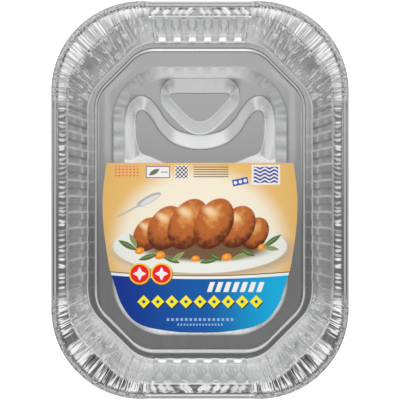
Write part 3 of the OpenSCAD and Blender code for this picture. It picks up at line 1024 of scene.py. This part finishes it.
def print_badges(art):
    """Two round badges on the band's edge, each with a four-pointed star."""
    for x in (-66, -42):
        art.paint(art.ellipse((x + 0.6, -80.6), (11.8, 11.8), 0, 0.06), tint(120, 70, 40))
        art.paint(art.ellipse((x, -80), (11.6, 11.6), 0, 0.04), tint(250, 206, 40))
        art.paint(art.ellipse((x, -80), (10, 10), 0, 0.04), RED)
        for turn in (0, 90):
            art.paint(art.leaf((x, -80), (7.4, 2.8), turn), WHITE)


def print_rows(art):
    """Rows on the band: slanted bars, diamonds with a blue middle, and two rows of dashes."""
    slanted = art.stripes(art.line(art.y, -0.35, art.x), 9.0, 0.6)
    art.paint(art.times(art.box((39, -94.5), (31, 5.4)), slanted), WHITE)
    row_y = -110.5
    row = art.box((0, row_y), (69.1, 9))
    for shift, high, size, colour in (
        (1.0, 0.98, 7.0, tint(20, 40, 70)), (0.0, 0.98, 7.0, YELLOW), (0.0, 1.0, 2.4, tint(20, 90, 150)),
    ):
        across = art.math("PINGPONG", art.minus(art.x, shift), 7.68)
        up = art.size(art.plus(art.y, shift - row_y))
        diamond = art.step(art.plus(across, art.times(up, high)), size + 0.3, size - 0.3)
        art.paint(art.times(row, diamond), colour)
    for y, half, pitch, share in ((-130, (38, 1.5), 5.0, 0.55), (-135.6, (25, 1.2), 3.4, 0.5)):
        dashes = art.times(art.box((0, y), half), art.stripes(art.x, pitch, share))
        art.paint(dashes, tint(150, 185, 225))


def card_material():
    """Glossy printed board with a generic food picture, built of simple shapes."""
    mat, tree, out = new_material("printed_board")
    art = Print(tree, tint(235, 189, 111))
    print_plate(art)
    print_loaf(art)
    print_garnish(art)
    print_top_row(art)
    print_band(art)
    print_badges(art)
    print_rows(art)
    board = {"Base Color": art.colour, "Roughness": 0.45, "Specular IOR Level": 0.2}
    art.links.new(art.add("BsdfPrincipled", board), out.inputs[0])
    return mat


def add_floor():
    """A white table that shows white to the camera and keeps a soft shadow below the pan.

    The foil mirrors it pale towards the two ends and dark towards the two sides.
    """
    bpy.ops.mesh.primitive_plane_add(size=6.0, location=(0, 0, -0.0004))
    floor = bpy.context.object
    floor.name = "table"
    mat, tree, out = new_material("white_table")
    w = NodeMaths(tree)
    diffuse = w.add("BsdfDiffuse", {"Color": (0.8, 0.8, 0.8, 1)})
    glow = w.add("Emission", {"Strength": w.times(w.read("LightPath", "Is Camera Ray"), 0.5)})
    lit = w.add("AddShader", {0: diffuse, 1: glow})
    x, y, _ = w.split(w.read("TexCoord", "Object"))
    sideways = w.step(w.minus(w.size(x), w.size(y)), -0.1, 0.05)
    mirrored = w.add("Emission", {"Strength": w.mix(sideways, 0.7, 0.22)})
    glossy = w.read("LightPath", "Is Glossy Ray")
    w.links.new(w.add("MixShader", {0: glossy, 1: lit, 2: mirrored}), out.inputs[0])
    floor.data.materials.append(mat)


# Brightness against the sine of the angle from straight up, towards each side of the studio
SKY_SIDES = [
    (0.0, 0.17), (0.3, 0.19), (0.5, 0.235), (0.72, 0.34), (0.8, 0.42), (0.84, 0.6), (0.87, 0.85),
    (0.9, 0.8), (0.93, 0.42), (0.96, 0.5), (1.0, 0.42),
]
SKY_NEAR = [
    (0.0, 0.11), (0.25, 0.18), (0.4, 0.5), (0.5, 0.72), (0.6, 0.76), (0.7, 0.68), (0.78, 0.68),
    (0.82, 0.4), (0.865, 0.38), (0.89, 0.95), (0.92, 1.35), (1.0, 1.35),
]
SKY_FAR = [(0.0, 0.4), (0.25, 0.44), (0.57, 0.6), (0.7, 0.8), (0.85, 1.25), (0.93, 1.2), (1.0, 0.8)]


def add_world():
    """A studio tent: soft lights at the near and far ends, dim sides, a dim top with two lamps.

    For glossy rays the brightness follows the direction. Other rays meet a plain even light.
    """
    world = bpy.data.worlds.new("tent")
    bpy.context.scene.world = world
    world.use_nodes = True
    tree = world.node_tree
    tree.nodes.clear()
    out = tree.nodes.new("ShaderNodeOutputWorld")
    w = NodeMaths(tree)
    x, y, _ = w.split(w.read("TexCoord", "Generated"))
    flat = w.plus(w.times(x, x), w.times(y, y))
    sine = w.math("SQRT", flat)
    endwise = w.math("DIVIDE", w.times(y, y), w.plus(flat, 0.0001))
    far = w.step(y, -0.01, 0.07)
    ends = w.mix(far, w.ramp(sine, SKY_NEAR), w.ramp(sine, SKY_FAR))
    narrow = w.math("POWER", endwise, w.mix(far, 2.4, 0.8))
    around = w.mix(narrow, w.ramp(sine, SKY_SIDES), ends)
    aside = w.size(x)
    lamp = w.times(w.step(aside, 0.105, 0.117), w.step(aside, 0.141, 0.13), w.step(y, 0.045, 0.11))
    plain = w.mix(w.step(aside, 0.131, 0.146), 0.45, 0.17)
    overhead = w.mix(far, 0.11, w.line(lamp, 0.42, plain))
    tent = w.mix(w.step(sine, 0.17, 0.4), overhead, around)
    brightness = w.mix(w.read("LightPath", "Is Glossy Ray"), 1.1, tent)
    back = w.add("Background", {"Color": (1, 1, 1, 1), "Strength": brightness})
    w.links.new(back, out.inputs[0])


def add_camera():
    """A camera straight above, its axis a little nearer the pan's card end, framed by the shift."""
    height_above_rim = 740.0
    axis_y = -6.8
    frame_width = 406.0
    data = bpy.data.cameras.new("camera")
    data.lens = data.sensor_width * height_above_rim / frame_width
    data.shift_y = 0.01675
    data.clip_end = 20.0
    camera = bpy.data.objects.new("camera", data)
    camera.location = (0.0, axis_y * MM, (PAN_H + height_above_rim) * MM)
    bpy.context.scene.collection.objects.link(camera)
    bpy.context.scene.camera = camera


def tie(obj, node, material):
    """Gives a piece its material and ties it to the frame."""
    obj.data.materials.append(material)
    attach(obj, "root")
    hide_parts(node)


def add_foil(name, surface, around, material):
    """A piece of the pan: a surface of points given the sheet's thickness."""
    obj = add_shell(name, surface, SHEET, around, sharp_over=70)
    tie(obj, "foil_pan", material)
    return obj


def add_card():
    """The card, which shows no mirror image in the foil and casts no shadow on it."""
    card = add_shell("card", card_surface(), CARD_T, False, sharp_over=40)
    card.visible_glossy = False
    card.visible_shadow = False
    tie(card, "label_card", card_material())


def main():
    bpy.context.scene.view_settings.view_transform = "Standard"
    foil = foil_material()
    for name, (surface, places) in (("flange", flange_surface()), ("wall", wall_surface())):
        mark_wrinkles(add_foil(name, surface, True, foil), places)
    half_len = RIM_HL - FLOOR_EDGE_AT
    add_foil("rack_far", floor_surface(half_len, RACK_SEAM_Y, 0.7, 249), False, foil)
    add_foil("rack_near", floor_surface(RACK_SEAM_Y, -half_len, 1.15, 211), False, foil)
    add_card()
    add_floor()
    add_world()
    add_camera()


main()
